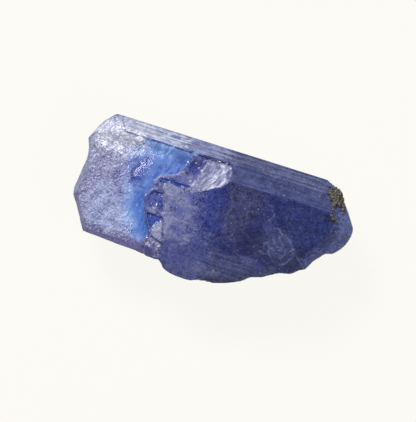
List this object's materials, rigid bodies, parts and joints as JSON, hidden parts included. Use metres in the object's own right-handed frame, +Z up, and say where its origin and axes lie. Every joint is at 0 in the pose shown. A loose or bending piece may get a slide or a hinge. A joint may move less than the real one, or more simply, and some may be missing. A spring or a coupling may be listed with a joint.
{
  "type": "tanzanite crystal",
  "caption": "Rough prismatic gem crystal with a striated bevel, a broken ledge, an etched pale end and a trace of matrix rock; lies flat as a mineral specimen.",
  "frame": {"origin": "middle of the bounding box, on the flat cleavage face that the crystal rests on", "axes": "+X along the prism towards the dark end with the matrix, +Y towards the long striated side, +Z up through the broad face"},
  "size_m": [0.032, 0.016, 0.0099],
  "materials": {
    "crystal": "transparent blue-violet crystal, glassy on the prism faces, frosted where it is etched or broken",
    "matrix": "granular, matt"
  },
  "bodies": {
    "root": {"crystal": "crystal", "matrix_crust": "matrix", "matrix_fleck": "matrix"}
  },
  "joints": []
}
